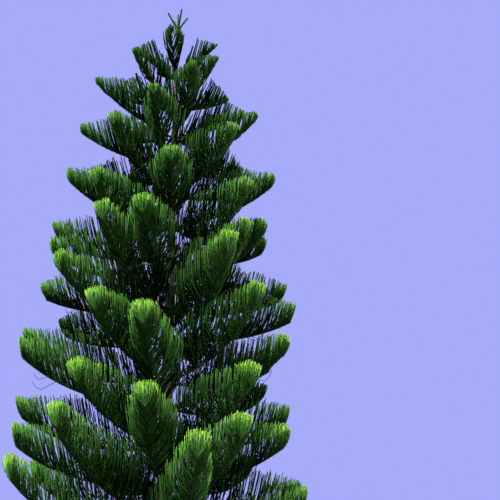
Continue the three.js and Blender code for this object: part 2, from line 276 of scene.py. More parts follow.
class Bough:
    """One limb of a whorl: its line, and the room that its whips may fill."""

    def __init__(self, rule, whips, trunk, whorl, height, turn, stream):
        depth = trunk.height - height
        angle = math.radians(turn)
        self.whorl = whorl
        self.height = height
        self.out = np.array([math.cos(angle), math.sin(angle), 0.0])
        self.side = np.array([-math.sin(angle), math.cos(angle), 0.0])
        full = rule.reach * grown(depth, rule.reach_growth) * grown(depth, rule.top_pinch)
        self.reach = full * (1 - rule.left_bias * math.cos(angle)) * (1 + stream.spread(REACH_SPREAD))
        steep = rule.top_slope * math.exp(-depth / rule.slope_fade)
        self.slope = rule.low_slope + steep + stream.spread(SLOPE_SPREAD)
        lift = rule.upturn * grown(depth, rule.upturn_growth) * (1 - rule.front_lift * math.sin(angle))
        self.upturn = lift * (1 + stream.spread(UPTURN_SPREAD))
        self.power = rule.upturn_power
        self.whip = whips.length * grown(depth, whips.growth)
        self.fullness = grown(max(0.0, depth - whips.point_depth), whips.filling)
        self.radius = rule.limb_radius + rule.limb_gain * self.reach
        self.limb_tip = rule.limb_tip
        self.socket = SOCKET_SHARE * trunk_radius(trunk, height) / self.reach

    def point(self, t):
        """Points of the limb's middle line at shares t of its reach."""
        t = np.asarray(t, float)[..., None]
        rise = self.reach * (self.slope * t + self.upturn * t ** self.power)
        return self.out * self.reach * t + UP * (self.height + rise)

    def along(self, t):
        """Directions of the limb's middle line."""
        t = np.asarray(t, float)[..., None]
        line = self.out + UP * (self.slope + self.power * self.upturn * t ** (self.power - 1))
        return line / np.linalg.norm(line, axis=-1, keepdims=True)

    def thickness(self, t):
        """Radii of the limb at shares t of its reach."""
        return self.radius * (1 - (1 - self.limb_tip) * np.asarray(t, float))


def grow_boughs(scene):
    """All boughs, from the top whorl down, by the rule that made the solids."""
    rule, whips, trunk = scene.pine_boughs, scene.pine_whips, scene.pine_trunk
    stream = SeededStream(rule.seed)
    boughs = []
    for whorl, (height, first_turn) in enumerate(zip(rule.heights, rule.turns)):
        count = TOP_WHORL_BOUGHS if whorl == 0 else WHORL_BOUGHS
        for i in range(count):
            turn = first_turn + i * 360 / count + stream.spread(TURN_SPREAD)
            boughs.append(Bough(rule, whips, trunk, whorl, height, turn, stream))
    return boughs


def bare_share(scene, bough):
    """Leafless inner share of a bough."""
    rule = scene.pine_boughs
    low = bough.whorl >= len(rule.turns) - rule.low_whorls
    return rule.low_bare if low else rule.bare


# Materials


def add_node(tree, kind, **inputs):
    """A new node with some input sockets set by name."""
    made = tree.nodes.new(kind)
    for name, value in inputs.items():
        made.inputs[name.replace("_", " ")].default_value = value
    return made


def new_material(name):
    """A new node material and its Principled shader."""
    material = bpy.data.materials.new(name)
    material.use_nodes = True
    return material, material.node_tree.nodes["Principled BSDF"]


def opaque(colour):
    """A colour with full alpha, as a shader's socket takes it."""
    return (*colour, 1.0)


BARK_STRETCH = (9.0, 9.0, 46.0)
BARK_DETAIL = 6.0
BARK_GRAIN = 0.62
BARK_BUMP = 0.7
BARK_GLOSS = 0.1
CREVICE_ROUGHNESS = 0.95
FLAKE_ROUGHNESS = 0.7


def bark_group():
    """Shared bark pattern: flakes that lie in rings round the stem, as a mask and a height."""
    name = "Ringed Bark"
    if name in bpy.data.node_groups:
        return bpy.data.node_groups[name]
    tree = bpy.data.node_groups.new(name, "ShaderNodeTree")
    tree.interface.new_socket("Scale", in_out="INPUT", socket_type="NodeSocketFloat").default_value = 1.0
    tree.interface.new_socket("Flakes", in_out="OUTPUT", socket_type="NodeSocketFloat")
    tree.interface.new_socket("Height", in_out="OUTPUT", socket_type="NodeSocketFloat")
    entry = tree.nodes.new("NodeGroupInput")
    leave = tree.nodes.new("NodeGroupOutput")
    place = tree.nodes.new("ShaderNodeTexCoord")
    stretch = add_node(tree, "ShaderNodeMapping", Scale=BARK_STRETCH)
    rings = add_node(tree, "ShaderNodeTexNoise", Detail=BARK_DETAIL, Roughness=BARK_GRAIN)
    flakes = add_node(tree, "ShaderNodeTexVoronoi", Randomness=1.0)
    blend = tree.nodes.new("ShaderNodeMath")
    blend.operation = "MULTIPLY"
    tree.links.new(place.outputs["Object"], stretch.inputs["Vector"])
    tree.links.new(stretch.outputs["Vector"], rings.inputs["Vector"])
    tree.links.new(stretch.outputs["Vector"], flakes.inputs["Vector"])
    tree.links.new(entry.outputs["Scale"], rings.inputs["Scale"])
    tree.links.new(entry.outputs["Scale"], flakes.inputs["Scale"])
    tree.links.new(rings.outputs["Fac"], blend.inputs[0])
    tree.links.new(flakes.outputs["Distance"], blend.inputs[1])
    tree.links.new(rings.outputs["Fac"], leave.inputs["Flakes"])
    tree.links.new(blend.outputs["Value"], leave.inputs["Height"])
    return tree


def mix_colours(tree, factor, first, second):
    """A colour mix; each of factor, first and second is an output socket or a plain value."""
    mix = tree.nodes.new("ShaderNodeMix")
    mix.data_type = "RGBA"
    sockets = [s for s in mix.inputs if s.enabled]
    for socket, value in zip(sockets, (factor, first, second)):
        if isinstance(value, bpy.types.NodeSocket):
            tree.links.new(value, socket)
        else:
            socket.default_value = value
    return next(s for s in mix.outputs if s.enabled)


def map_range(tree, value, low, high, to_low=0.0, to_high=1.0):
    """value from low..high to to_low..to_high."""
    node = add_node(tree, "ShaderNodeMapRange", From_Min=low, From_Max=high, To_Min=to_low, To_Max=to_high)
    tree.links.new(value, node.inputs["Value"])
    return node.outputs["Result"]


def bark_surface(tree, shader, flakes_scale, bump_distance):
    """Gives a material the shared bark's bump, roughness and gloss, and returns its flake mask."""
    bark = tree.nodes.new("ShaderNodeGroup")
    bark.node_tree = bark_group()
    bark.inputs["Scale"].default_value = flakes_scale
    flakes = bark.outputs["Flakes"]
    bump = add_node(tree, "ShaderNodeBump", Strength=BARK_BUMP, Distance=bump_distance)
    tree.links.new(bark.outputs["Height"], bump.inputs["Height"])
    tree.links.new(bump.outputs["Normal"], shader.inputs["Normal"])
    roughness = map_range(tree, flakes, 0.0, 1.0, CREVICE_ROUGHNESS, FLAKE_ROUGHNESS)
    tree.links.new(roughness, shader.inputs["Roughness"])
    shader.inputs["Specular IOR Level"].default_value = BARK_GLOSS
    return flakes


TRUNK_FLAKES = 1.0
TRUNK_BUMP = 0.01
PEELING_BAND = (0.85, 0.88)
GREENING_BAND = (0.925, 0.945)
PATCH_SCALE = 3.0
PATCH_DETAIL = 5.0
PATCH_RANGE = (0.45, 0.65)
TRUNK_CREVICES = (0.36, 0.56)


def trunk_material(trunk):
    """Grey ringed bark with bleached patches below, peeling tan bark above and a green leader."""
    material, shader = new_material("trunk_bark")
    tree = material.node_tree
    flakes = bark_surface(tree, shader, TRUNK_FLAKES, TRUNK_BUMP)
    place = tree.nodes.new("ShaderNodeTexCoord")
    split = tree.nodes.new("ShaderNodeSeparateXYZ")
    tree.links.new(place.outputs["Object"], split.inputs["Vector"])
    peeling = map_range(tree, split.outputs["Z"], *(share * trunk.height for share in PEELING_BAND))
    greening = map_range(tree, split.outputs["Z"], *(share * trunk.height for share in GREENING_BAND))
    patches = add_node(tree, "ShaderNodeTexNoise", Scale=PATCH_SCALE, Detail=PATCH_DETAIL)
    tree.links.new(place.outputs["Object"], patches.inputs["Vector"])
    bleached = map_range(tree, patches.outputs["Fac"], *PATCH_RANGE)
    weathered = mix_colours(tree, bleached, opaque(trunk.grey), opaque(trunk.pale))
    aged = mix_colours(tree, peeling, weathered, opaque(trunk.tan))
    skin = mix_colours(tree, greening, aged, opaque(trunk.green))
    raised = map_range(tree, flakes, *TRUNK_CREVICES)
    surface = mix_colours(tree, raised, opaque(trunk.crevice), skin)
    tree.links.new(surface, shader.inputs["Base Color"])
    return material


LIMB_FLAKES = 2.5
LIMB_BUMP = 0.004
LIMB_GREENING = (0.3, 0.9)
LIMB_CREVICES = (0.3, 0.6)
LIMB_CREVICE_SHARE = 0.4


def limb_material(rule):
    """Dark limb bark that greens towards the limbs' ends."""
    material, shader = new_material("limb_bark")
    tree = material.node_tree
    flakes = bark_surface(tree, shader, LIMB_FLAKES, LIMB_BUMP)
    place = tree.nodes.new("ShaderNodeTexCoord")
    level = add_node(tree, "ShaderNodeMapping", Scale=(1.0, 1.0, 0.0))
    away = tree.nodes.new("ShaderNodeVectorMath")
    away.operation = "LENGTH"
    tree.links.new(place.outputs["Object"], level.inputs["Vector"])
    tree.links.new(level.outputs["Vector"], away.inputs[0])
    young = map_range(tree, away.outputs["Value"], *(share * rule.reach for share in LIMB_GREENING))
    skin = mix_colours(tree, young, opaque(rule.bark), opaque(rule.twig))
    crevice = tuple(LIMB_CREVICE_SHARE * channel for channel in rule.bark)
    raised = map_range(tree, flakes, *LIMB_CREVICES)
    surface = mix_colours(tree, raised, opaque(crevice), skin)
    tree.links.new(surface, shader.inputs["Base Color"])
    return material


NEEDLE_SHADES = 8
NEEDLE_ROUGHNESS = 0.7
TIP_GLOSS = 0.12


def needle_materials(whips):
    """Plain shades from the oldest inner needles, also painted shade, to the soft tips, also painted
    highlight, which are the glossiest.
    """
    colours = np.array([whips.shadow, whips.leaf, whips.fresh_and_lit, whips.tip])
    stops = np.linspace(0.0, 1.0, len(colours))
    materials = []
    for i in range(NEEDLE_SHADES):
        share = i / (NEEDLE_SHADES - 1)
        colour = [float(np.interp(share, stops, channel)) for channel in colours.T]
        material, shader = new_material(f"needles_{i + 1}")
        shader.inputs["Base Color"].default_value = opaque(colour)
        shader.inputs["Roughness"].default_value = NEEDLE_ROUGHNESS
        shader.inputs["Specular IOR Level"].default_value = TIP_GLOSS * share ** 2
        materials.append(material)
    return materials


# Pieces


def show(obj, nodes):
    """Links a finished piece, seats it on the tree's body and hides the solids that it stands for."""
    bpy.context.scene.collection.objects.link(obj)
    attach(obj, BODY)
    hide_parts(*nodes)


def node_names(prefix):
    """Names of the solids that start with a prefix, in order."""
    return sorted(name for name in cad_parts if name.startswith(prefix))


TRUNK_AROUND = 72
TRUNK_RINGS = 520
MERGE_DISTANCE = 1e-5
SCAR_ROWS = 3
SCAR_HEIGHT = 0.03
SCAR_WIDTH = 0.05
SCAR_RELIEF = 0.010
COLLAR_HEIGHT = 0.05
COLLAR_SWELL = 0.25
SWELLING_ENDS_AT = 3.0
# The bark's waves in each metre, across the stem and along it
RING_WAVES = (6, 34)
FLAKE_WAVES = (15, 85)
PLATE_WAVES = (5, 9)
RING_SHARE = 0.5
FLAKE_SHARE = 0.35
PLATE_SHARE = 0.5
PLATE_LEVEL = 0.15


def waves(place, across, along):
    """Noise in -1..1 at a place on the stem."""
    x, y, z = place
    return noise.noise(Vector((across * x, across * y, along * z)))


def bark_relief(place):
    """Rings, flakes and plates of the bark, about -1..1, at a place on the stem."""
    rings = waves(place, *RING_WAVES)
    flakes = waves(place, *FLAKE_WAVES)
    plates = abs(waves(place, *PLATE_WAVES))
    return RING_SHARE * rings + FLAKE_SHARE * flakes + PLATE_SHARE * plates - PLATE_LEVEL


def swelling(away):
    """A smooth bump of height 1, at a distance counted in its widths."""
    return math.exp(-away * away) if abs(away) < SWELLING_ENDS_AT else 0.0


class PINE_OT_trunk(bpy.types.Operator):
    """Make the trunk with its root flare, bark rings, collars and branch scars"""

    bl_idname = "pine.trunk"
    bl_label = "Trunk"

    def execute(self, context):
        trunk = context.scene.pine_trunk
        boughs = grow_boughs(context.scene)
        # A sheet one unit wide and high, rolled round the stem
        bm = bmesh.new()
        bmesh.ops.create_grid(bm, x_segments=TRUNK_AROUND, y_segments=TRUNK_RINGS, size=0.5)
        for vert in bm.verts:
            angle = 2 * math.pi * (vert.co.x + 0.5)
            height = trunk.height * (vert.co.y + 0.5)
            radius = self.skin_radius(trunk, boughs, angle, height)
            vert.co = (radius * math.cos(angle), radius * math.sin(angle), height)
        bmesh.ops.remove_doubles(bm, verts=bm.verts, dist=MERGE_DISTANCE)
        bmesh.ops.holes_fill(bm, edges=[e for e in bm.edges if e.is_boundary], sides=0)
        bmesh.ops.recalc_face_normals(bm, faces=bm.faces)
        mesh = bpy.data.meshes.new("trunk_bark")
        bm.to_mesh(mesh)
        bm.free()
        mesh.polygons.foreach_set("use_smooth", np.ones(len(mesh.polygons), bool))
        mesh.materials.append(trunk_material(trunk))
        show(bpy.data.objects.new("trunk_bark", mesh), ["trunk"])
        return {"FINISHED"}

    @staticmethod
    def skin_radius(trunk, boughs, angle, height):
        """The stem's radius with flare, lobes, collars at the whorls, scars of lost boughs and bark."""
        fade = math.exp(-height / trunk.flare_height)
        radius = trunk_radius(trunk, height) * (1 + trunk.flare_swell * fade)
        radius *= 1 + trunk.lobe_swell * fade * math.cos(trunk.root_lobes * angle)
        for whorl_height in {bough.height for bough in boughs}:
            radius *= 1 + COLLAR_SWELL * swelling((height - whorl_height) / COLLAR_HEIGHT)
        lowest = boughs[-1].height
        step = boughs[-WHORL_BOUGHS - 1].height - lowest
        for row in range(1, SCAR_ROWS + 1):
            above = (height - (lowest - row * step)) / SCAR_HEIGHT
            turn = WHORL_BOUGHS * (angle + row)
            beside = radius * math.asin(math.sin(turn / 2)) * 2 / WHORL_BOUGHS / SCAR_WIDTH
            radius += SCAR_RELIEF * swelling(above) * math.exp(-beside * beside)
        if height < MERGE_DISTANCE:
            return radius
        place = (radius * math.cos(angle), radius * math.sin(angle), height)
        return radius + trunk.relief * math.sqrt(radius / trunk.radius) * bark_relief(place)


LIMB_POINTS = 16
LIMB_ROUNDNESS = 2
LIMB_RELIEF = 0.12
LIMB_GRAIN = 22
LIMB_FOOT_SWELL = 0.5
LIMB_FOOT_SHARE = 0.04


class PINE_OT_limbs(bpy.types.Operator):
    """Make the limb of every bough, with rough bark and a swollen foot"""

    bl_idname = "pine.limbs"
    bl_label = "Limbs"

    def execute(self, context):
        rule = context.scene.pine_boughs
        curve = bpy.data.curves.new("limb_lines", "CURVE")
        curve.dimensions = "3D"
        # With a depth of 1, the radius of a point is its limb's radius in metres
        curve.bevel_depth = 1.0
        curve.bevel_resolution = LIMB_ROUNDNESS
        curve.use_fill_caps = True
        for bough in grow_boughs(context.scene):
            shares = np.linspace(bough.socket, 1.0, LIMB_POINTS)
            line = curve.splines.new("POLY")
            line.points.add(LIMB_POINTS - 1)
            foot = 1 + LIMB_FOOT_SWELL * np.exp(-(shares - bough.socket) / LIMB_FOOT_SHARE)
            radii = bough.thickness(shares) * foot
            for point, place, radius in zip(line.points, bough.point(shares), radii):
                point.co = (*place, 1.0)
                point.radius = radius
        lines = bpy.data.objects.new("limb_lines", curve)
        context.scene.collection.objects.link(lines)
        solid = lines.evaluated_get(context.evaluated_depsgraph_get())
        mesh = bpy.data.meshes.new_from_object(solid)
        bpy.data.objects.remove(lines)
        bpy.data.curves.remove(curve)
        self.roughen(mesh, rule)
        mesh.name = "bough_limbs"
        mesh.materials.clear()
        mesh.materials.append(limb_material(rule))
        mesh.polygons.foreach_set("use_smooth", np.ones(len(mesh.polygons), bool))
        show(bpy.data.objects.new("bough_limbs", mesh), node_names("limb_"))
        return {"FINISHED"}

    @staticmethod
    def roughen(mesh, rule):
        """Pushes the skin in and out along its normals, by up to a share of the longest limb's radius."""
        depth = LIMB_RELIEF * (rule.limb_radius + rule.limb_gain * rule.reach)
        normals = [vert.normal.copy() for vert in mesh.vertices]
        for vert, normal in zip(mesh.vertices, normals):
            vert.co += normal * depth * noise.noise(vert.co * LIMB_GRAIN)


# Needles of all whips, worked out together


class WhipBatch:
    """Many whips as arrays: foot, bend and tip of each curve, thickness, needle size, shade and its gain."""

    FIELDS = ("foot", "bend", "tip", "core", "needle", "shade", "gain", "whorl")

    def __init__(self):
        self.parts = {field: [] for field in self.FIELDS}

    def add(self, **values):
        """Adds a group of whips; single values are shared by the group."""
        count = len(values["foot"])
        for field in self.FIELDS:
            value = np.asarray(values[field], float)
            shape = (count, 3) if field in ("foot", "bend", "tip") else (count,)
            self.parts[field].append(np.broadcast_to(value, shape))

    def packed(self):
        """All whips so far, as one array for each field."""
        return {field: np.concatenate(parts) for field, parts in self.parts.items()}


FEWEST_WHIPS = 6
YOUNG_DENSITY = 0.38
YOUNG_PLUMP = 2.0
YOUNG_FORWARD = 0.4
LENGTH_SPREAD = 0.06
LEAN_SPREAD = 0.02
SECTOR_ROOM = math.tan(math.pi / WHORL_BOUGHS)
INNERMOST_SIDE = 0.45
BEND_SIDE = 0.95
BEND_RISE = 0.22
BEND_FORWARD = 0.5
BEND_DRIFT = 0.5
SLENDEREST = 0.5
BRUSH_FROM = 0.6
BRUSH_LEAN = (-0.15, 0.5)
TIPS_END_AT = 1.05
# Shades run from 0, the oldest needles, to 1, the soft tips; a gain is added towards a whip's tip. Dark
# inner whips are also painted shade deep in the crown, and the light outer tips also a painted highlight on
# the crests
SHADE_INNER = 0.0
SHADE_OUTER = 0.22
PAINTED_FRONT_LIGHT = 0.08
SHADE_SPREAD = 0.06
GAIN_INNER = 0.14
GAIN_OUTER = 0.68


def whip_lengths(whips, bough, t):
    """Whip length at shares t of a bough's reach."""
    inner = whips.base_share + (1 - whips.base_share) * np.minimum(1, t / whips.full_at)
    outer = np.clip((t - whips.rounds_from) / (1 - whips.rounds_from), 0, 1)
    end = whips.tip_share * bough.fullness
    return bough.whip * inner * (end + (1 - end) * (1 - outer ** (1 + bough.fullness)))


def add_bough_whips(batch, whips, bough, leaf_from, random):
    """The whips of one bough: two ranks on its inner stretch, which close to a brush at its end."""
    limb = bough.reach * (1 - leaf_from) * math.sqrt(1 + bough.slope ** 2)
    density = YOUNG_DENSITY + (1 - YOUNG_DENSITY) * bough.fullness
    count = max(FEWEST_WHIPS, round(density * limb / whips.spacing))
    share = (np.arange(count) + random.random(count)) / count
    ripe = math.sqrt(bough.fullness)
    crowding = 1 + (whips.crowding - 1) * bough.fullness
    t = leaf_from + (1 - leaf_from) * (1 - (1 - share) ** crowding)
    brush = ripe * np.clip((t - BRUSH_FROM) / (1 - BRUSH_FROM), 0, 1)
    hand = random.uniform(INNERMOST_SIDE * (1 - brush), 1.0) * random.choice([-1.0, 1.0], count)
    forward = whips.forward + YOUNG_FORWARD * (1 - ripe) + brush * random.uniform(*BRUSH_LEAN, count)
    lean = np.stack([hand * whips.side, np.full(count, whips.rise), forward], axis=1)
    lean *= math.hypot(whips.side, whips.rise, whips.forward) / np.linalg.norm(lean, axis=1, keepdims=True)
    lengths = whip_lengths(whips, bough, t) * (1 + random.uniform(-LENGTH_SPREAD, LENGTH_SPREAD, count))
    room = SECTOR_ROOM * bough.reach * t
    ahead = np.minimum(lean[:, 2] * lengths, (TIPS_END_AT - t) * bough.reach)
    foot = bough.point(t)
    side = np.clip(lean[:, 0] * lengths, -room, room)[:, None] * bough.side
    upward = (lean[:, 1] * lengths)[:, None] * UP
    along = bough.along(t) * ahead[:, None]
    drift = random.normal(0, LEAN_SPREAD, (count, 3)) * lengths[:, None]
    plump = YOUNG_PLUMP + (1 - YOUNG_PLUMP) * bough.fullness
    slender = np.sqrt(np.clip(lengths / whips.length, SLENDEREST, 1.0))
    # Boughs on the front, where the key light falls, are dealt lighter shades and more gain: painted light
    front = PAINTED_FRONT_LIGHT * -bough.out[1]
    batch.add(
        foot=foot,
        bend=foot + BEND_SIDE * side + BEND_RISE * upward + BEND_FORWARD * along + BEND_DRIFT * drift,
        tip=foot + side + upward + along + drift,
        core=whips.core_radius * plump * slender,
        needle=whips.needle_length * slender,
        # Inner whips darker, outer ones lighter: older and younger needles, and also painted shade deep in
        # the crown
        shade=SHADE_INNER + front + SHADE_OUTER * t ** 2 + random.normal(0, SHADE_SPREAD, count),
        gain=GAIN_INNER + front + GAIN_OUTER * bough.fullness * t ** 2,
        whorl=bough.whorl,
    )


END_WHIP_FROM = 0.97
LIMB_COATS = 5
LIMB_COAT_CORE = 0.7
LIMB_COAT_NEEDLE = 1.3


def add_limb_needles(batch, whips, bough, leaf_from):
    """Needles on the limb itself, over a rope that lies inside its bark."""
    shares = np.linspace(leaf_from, END_WHIP_FROM, LIMB_COATS + 1)
    foot, tip = bough.point(shares[:-1]), bough.point(shares[1:])
    middle = bough.point((shares[:-1] + shares[1:]) / 2)
    batch.add(
        foot=foot,
        bend=2 * middle - (foot + tip) / 2,
        tip=tip,
        core=LIMB_COAT_CORE * bough.thickness(shares[1:]),
        needle=LIMB_COAT_NEEDLE * whips.needle_length,
        # The darkest green: the oldest needles, and also painted shade along the limb inside the bough
        shade=SHADE_INNER,
        gain=0.0,
        whorl=bough.whorl,
    )


END_WHIP_SHARE = 0.1
END_WHIP_CORE = 0.6
END_WHIP_NEEDLE = 0.5
TOP_STICK_FROM = 0.1
TOP_STICK_SHARE = 1.0
TOP_STICK_CORE = 2.4


def add_end_whip(batch, whips, bough):
    """The whip that carries a limb on; on the top whorl it makes most of the young stick."""
    top = bough.whorl == 0
    foot = bough.point([TOP_STICK_FROM if top else END_WHIP_FROM])
    onward = bough.along([1.0]) * bough.whip * (TOP_STICK_SHARE if top else END_WHIP_SHARE)
    tip = bough.point([END_WHIP_FROM]) + onward
    batch.add(
        foot=foot,
        bend=(foot + tip) / 2,
        tip=tip,
        core=whips.core_radius * (TOP_STICK_CORE if top else END_WHIP_CORE),
        needle=whips.needle_length * END_WHIP_NEEDLE,
        shade=SHADE_INNER + SHADE_OUTER,
        gain=0.0,
        whorl=bough.whorl,
    )


STRAYS_FROM_WHORL = 9
STRAYS_PER_BOUGH = 2
STRAY_STRETCH = (0.6, 0.85)
STRAY_LENGTH = (0.2, 0.4)
STRAY_CORE = 0.6
# Reach, sag and turn of a stray whip, as shares of its length
STRAY_OUT = 0.8
STRAY_ASIDE = 0.4
STRAY_SAG = 0.5
STRAY_SAG_AT = 0.7
STRAY_END_RISE = 0.1


def add_strays(batch, whips, bough, random):
    """A few old whips under the end of a low bough, thin and nearly bare, that sag and turn up."""
    count = STRAYS_PER_BOUGH
    t = random.uniform(*STRAY_STRETCH, count)
    length = random.uniform(*STRAY_LENGTH, count)[:, None]
    hand = random.uniform(-1.0, 1.0, count)[:, None]
    foot = bough.point(t)
    out = length * (STRAY_OUT * bough.out + STRAY_ASIDE * hand * bough.side)
    batch.add(
        foot=foot,
        bend=foot + STRAY_SAG_AT * out - STRAY_SAG * length * UP,
        tip=foot + out + STRAY_END_RISE * length * UP,
        core=whips.core_radius * STRAY_CORE,
        needle=whips.needle_length * STRAY_CORE,
        shade=SHADE_INNER,
        gain=0.0,
        whorl=bough.whorl,
    )


LEADER_FROM = 0.94
LEADER_STRETCHES = 3
LEADER_COAT = 0.008
LEADER_NEEDLE = 0.6
LEADER_SHADE = 0.36


def add_leader(batch, whips, trunk):
    """The leader's own needles, on its green upper end."""
    heights = np.linspace(LEADER_FROM * trunk.height, trunk.height, LEADER_STRETCHES + 1)
    for low, high in zip(heights[:-1], heights[1:]):
        foot = np.array([[0.0, 0.0, low]])
        tip = np.array([[0.0, 0.0, high]])
        batch.add(
            foot=foot,
            bend=(foot + tip) / 2,
            tip=tip,
            core=LEADER_COAT + trunk_radius(trunk, high),
            needle=whips.needle_length * LEADER_NEEDLE,
            shade=LEADER_SHADE,
            gain=0.0,
            whorl=0,
        )


def grow_whips(scene, random):
    """The whips of the whole tree, as arrays."""
    whips = scene.pine_whips
    batch = WhipBatch()
    for bough in grow_boughs(scene):
        add_end_whip(batch, whips, bough)
        if bough.whorl > 0:
            leaf_from = bare_share(scene, bough)
            add_bough_whips(batch, whips, bough, leaf_from, random)
            add_limb_needles(batch, whips, bough, leaf_from)
        if bough.whorl >= STRAYS_FROM_WHORL:
            add_strays(batch, whips, bough, random)
    add_leader(batch, whips, scene.pine_trunk)
    return batch.packed()


CORE_RINGS = 4
CORE_SIDES = 3
CORE_RING_POWER = 0.6
CORE_RING_SPREAD = 0.15
CORE_TIP_SHARE = 0.8
FEWEST_NEEDLES = 6
GOLDEN_TURN = math.radians(137.5)
NEEDLE_OPENING = (math.radians(34), math.radians(18))
NEEDLE_OPENING_SPREAD = 0.12
NEEDLE_STEP_ROOM = (0.1, 0.9)
NEEDLE_LENGTH_SPREAD = (0.8, 1.2)
NEEDLE_FOOT_DEPTH = 0.6
NEEDLE_WIDEST = 0.4
NEEDLE_SHORTENS = 0.15
# The gain lights only a whip's last stretch: its young tip, and also a painted highlight on the crest
SHADE_ALONG_POWER = 4.0
SHADE_NEEDLE_SPREAD = 0.06
SHADE_CORE_DROP = 0.5 / NEEDLE_SHADES
# A slanting direction, from which the directions across a whip are taken
ASKEW = np.array([0.83, 0.55, 0.1])
SHORTEST = 1e-9


def bend_line(foot, bend, tip, s):
    """Points, directions and two cross directions of curves from foot over bend to tip, at shares s."""
    s = s[..., None]
    point = (1 - s) ** 2 * foot + 2 * s * (1 - s) * bend + s ** 2 * tip
    along = 2 * (1 - s) * (bend - foot) + 2 * s * (tip - bend)
    along /= np.maximum(np.linalg.norm(along, axis=-1, keepdims=True), SHORTEST)
    level = np.cross(along, ASKEW)
    level /= np.linalg.norm(level, axis=-1, keepdims=True)
    return point, along, level, np.cross(along, level)


def shade_index(shade, gain, s, spread):
    """The material of a face by its whip's shade, and the gain of shade towards the whip's tip, which is
    partly a painted highlight.
    """
    value = shade + gain * s ** SHADE_ALONG_POWER + spread
    return np.clip(np.rint(value * (NEEDLE_SHADES - 1)), 0, NEEDLE_SHADES - 1).astype(np.int32)


def core_faces(bundle, random):
    """Quads of the ropes of needle feet, as (points, quads, shades)."""
    count = len(bundle["foot"])
    s = np.tile(np.linspace(0, 1, CORE_RINGS) ** CORE_RING_POWER, (count, 1))
    s[:, 1:-1] += random.uniform(-CORE_RING_SPREAD, CORE_RING_SPREAD, (count, 1))
    foot, bend, tip = (bundle[field][:, None, :] for field in ("foot", "bend", "tip"))
    point, along, across, over = bend_line(foot, bend, tip, s)
    angles = np.arange(CORE_SIDES) * 2 * math.pi / CORE_SIDES
    radius = bundle["core"][:, None] * (1 - (1 - CORE_TIP_SHARE) * s)
    ring = np.cos(angles)[:, None] * across[:, :, None, :] + np.sin(angles)[:, None] * over[:, :, None, :]
    points = point[:, :, None, :] + radius[:, :, None, None] * ring
    corner = np.arange(count * CORE_RINGS * CORE_SIDES).reshape(count, CORE_RINGS, CORE_SIDES)
    around = np.roll(corner, -1, axis=2)
    quads = np.stack([corner[:, :-1], around[:, :-1], around[:, 1:], corner[:, 1:]], axis=-1)
    middle = (s[:, :-1] + s[:, 1:]) / 2
    shades = shade_index(bundle["shade"][:, None], bundle["gain"][:, None], middle, -SHADE_CORE_DROP)
    return points.reshape(-1, 3), quads.reshape(-1, 4), np.repeat(shades.ravel(), CORE_SIDES)


def needle_counts(bundle, needles):
    """How many needles each whip bears, by its length."""
    lengths = np.linalg.norm(bundle["tip"] - bundle["foot"], axis=1)
    return np.maximum(FEWEST_NEEDLES, np.rint(needles * lengths)).astype(int)


def needle_faces(bundle, counts, width, random):
    """Kite-shaped needles in a spiral up each whip, as (points, quads, shades)."""
    whip = np.repeat(np.arange(len(counts)), counts)
    total = len(whip)
    own = {field: values[whip] for field, values in bundle.items()}
    step = np.arange(total) - np.repeat(np.cumsum(counts) - counts, counts)
    s = (step + random.uniform(*NEEDLE_STEP_ROOM, total)) / counts[whip]
    point, along, across, over = bend_line(own["foot"], own["bend"], own["tip"], s)
    angle = step * GOLDEN_TURN + random.uniform(0, 2 * math.pi, len(counts))[whip]
    outward = np.cos(angle)[:, None] * across + np.sin(angle)[:, None] * over
    opening = NEEDLE_OPENING[0] + (NEEDLE_OPENING[1] - NEEDLE_OPENING[0]) * s
    opening = (opening + random.normal(0, NEEDLE_OPENING_SPREAD, total))[:, None]
    pointing = np.cos(opening) * along + np.sin(opening) * outward
    sideways = np.cross(along, outward)
    length = own["needle"] * (1 - NEEDLE_SHORTENS * s) * random.uniform(*NEEDLE_LENGTH_SPREAD, total)
    length = length[:, None]
    foot = point + outward * (NEEDLE_FOOT_DEPTH * own["core"])[:, None]
    middle = foot + pointing * NEEDLE_WIDEST * length
    half = sideways * length * width / 2
    points = np.stack([foot, middle + half, foot + pointing * length, middle - half], axis=1)
    quads = np.arange(4 * total).reshape(-1, 4)
    spread = random.normal(0, SHADE_NEEDLE_SPREAD, total)
    return points.reshape(-1, 3), quads, shade_index(own["shade"], own["gain"], s, spread)


def mesh_from_quads(name, groups):
    """One mesh from several (points, quads, shades) groups."""
    points = np.concatenate([group[0] for group in groups]).astype(np.float32)
    starts = np.cumsum([0] + [len(group[0]) for group in groups[:-1]])
    quads = np.concatenate([group[1] + start for group, start in zip(groups, starts)]).astype(np.int32)
    shades = np.concatenate([group[2] for group in groups]).astype(np.int32)
    mesh = bpy.data.meshes.new(name)
    mesh.vertices.add(len(points))
    mesh.vertices.foreach_set("co", points.ravel())
    mesh.loops.add(quads.size)
    mesh.loops.foreach_set("vertex_index", quads.ravel())
    mesh.polygons.add(len(quads))
    mesh.polygons.foreach_set("loop_start", np.arange(0, quads.size, 4, dtype=np.int32))
    mesh.polygons.foreach_set("material_index", shades)
    mesh.update(calc_edges=True)
    return mesh


PIECE_TRIANGLES = 185_000
TRIANGLES_PER_QUAD = 2


def whorl_bands(whorls, triangles):
    """Runs of whorls whose whips together stay within one piece's triangles."""
    bands = [[]]
    filled = 0
    for whorl, size in enumerate(np.bincount(whorls.astype(int), weights=triangles)):
        if bands[-1] and filled + size > PIECE_TRIANGLES:
            bands.append([])
            filled = 0
        bands[-1].append(whorl)
        filled += size
    return bands


def foliage_nodes(band):
    """The solids that the whips of a band of whorls stand for."""
    prefixes = [f"{kind}_{whorl + 1:02d}_" for whorl in band for kind in ("whorl", "spray")]
    return [name for prefix in prefixes for name in node_names(prefix)]


